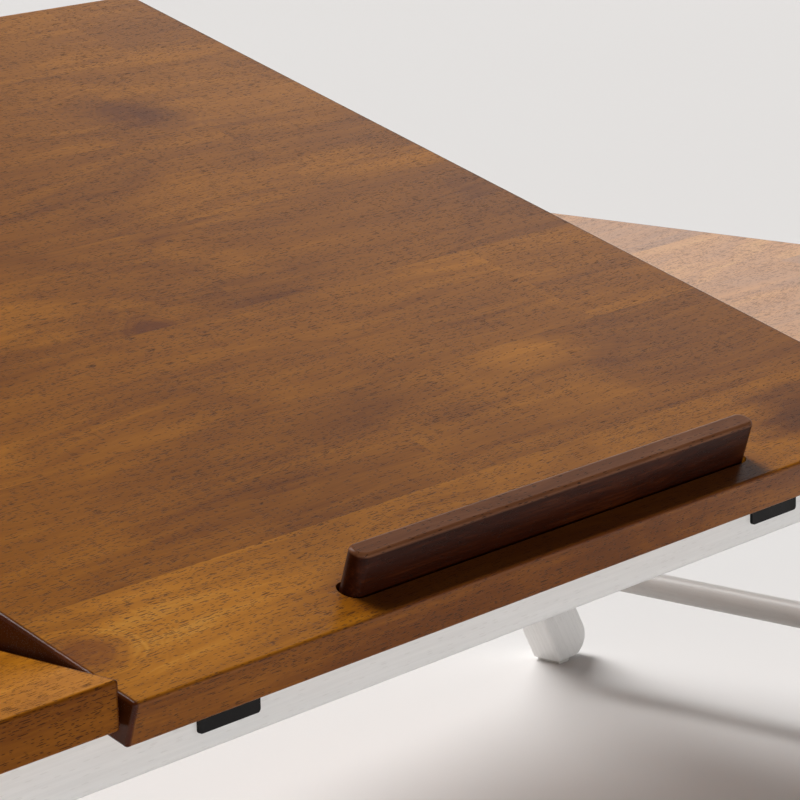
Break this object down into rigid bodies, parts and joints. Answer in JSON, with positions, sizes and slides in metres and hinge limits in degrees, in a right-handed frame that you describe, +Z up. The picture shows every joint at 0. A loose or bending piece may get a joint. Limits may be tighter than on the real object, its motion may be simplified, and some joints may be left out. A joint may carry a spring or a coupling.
{
  "type": "folding laptop tray",
  "caption": "Folding laptop tray: tilting wooden centre panel with a lift-out stop bar between two fixed panels, on a white frame with splayed leg frames that fold inward.",
  "frame": {"origin": "centre of the plan box at the surface the tray stands on", "axes": "+X along the tray to its right end, +Y from the front (stop bar side) to the back, +Z up"},
  "size_m": [0.8594, 0.3906, 0.3236],
  "materials": {
    "oiled_wood": "satin lacquered, edge-glued brown hardwood staves",
    "dark_wood": "satin lacquered dark brown hardwood",
    "white_paint": "satin white painted wood",
    "dowel_wood": "plain beech",
    "zinc_steel": "bright zinc plated",
    "black_steel": "black satin coated steel",
    "soft_rubber": "matte milky rubber"
  },
  "bodies": {
    "frame": {"right_fixed_panel": "oiled_wood", "left_fixed_panel": "oiled_wood", "panel_fixing_screws": "zinc_steel", "front_rail": "white_paint", "rear_rail": "white_paint", "right_end_rail": "white_paint", "left_end_rail": "white_paint", "corner_dowels": "dowel_wood", "slat_dowels": "dowel_wood", "right_rack_slat": "white_paint", "left_rack_slat": "white_paint", "rear_rest_pads": "soft_rubber", "left_hinge_rail_leaf": "black_steel", "right_hinge_rail_leaf": "black_steel", "left_hinge_pin": "black_steel", "right_hinge_pin": "black_steel", "rail_leaf_screws": "black_steel", "leg_pivot_bolts": "zinc_steel", "leg_washers": "zinc_steel"},
    "tilt_top": {"tilt_panel": "oiled_wood", "left_hinge_panel_leaf": "black_steel", "right_hinge_panel_leaf": "black_steel", "panel_leaf_screws": "black_steel", "prop_bracket_screws": "black_steel", "right_prop_bracket": "black_steel", "left_prop_bracket": "black_steel", "prop_pivot_rod": "zinc_steel"},
    "stop": {"stop_bar": "dark_wood"},
    "prop": {"right_prop_arm": "black_steel", "left_prop_arm": "black_steel", "prop_foot_rod": "zinc_steel", "foot_rod_sleeves": "soft_rubber"},
    "right_legs": {"right_front_leg": "white_paint", "right_rear_leg": "white_paint", "right_stretcher": "white_paint", "right_foot_pads": "soft_rubber"},
    "left_legs": {"left_front_leg": "white_paint", "left_rear_leg": "white_paint", "left_stretcher": "white_paint", "left_foot_pads": "soft_rubber"}
  },
  "joints": [
    {"name": "panel_tilt", "type": "hinge", "parent": "frame", "child": "tilt_top", "pos_m": [0, -0.17266, 0.1978], "axis": [1, 0, 0], "range_deg": [-17.5, 8.5]},
    {"name": "prop_swing", "type": "hinge", "parent": "tilt_top", "child": "prop", "pos_m": [0, 0.00037, 0.24763], "axis": [1, 0, 0], "range_deg": [-25.6, 52.6]},
    {"name": "stop_lift", "type": "slide", "parent": "tilt_top", "child": "stop", "axis": [0, -0.3007, 0.9537], "range_m": [0, 0.0095]},
    {"name": "right_leg_fold", "type": "hinge", "parent": "frame", "child": "right_legs", "pos_m": [0.32025, 0, 0.1876], "axis": [0, 1, 0], "range_deg": [0, 119]},
    {"name": "left_leg_fold", "type": "hinge", "parent": "frame", "child": "left_legs", "pos_m": [-0.32025, 0, 0.1876], "axis": [0, -1, 0], "range_deg": [0, 119]}
  ],
  "couplings": [
    {"joint": "prop_swing", "follows": "panel_tilt", "ratio": -3}
  ]
}
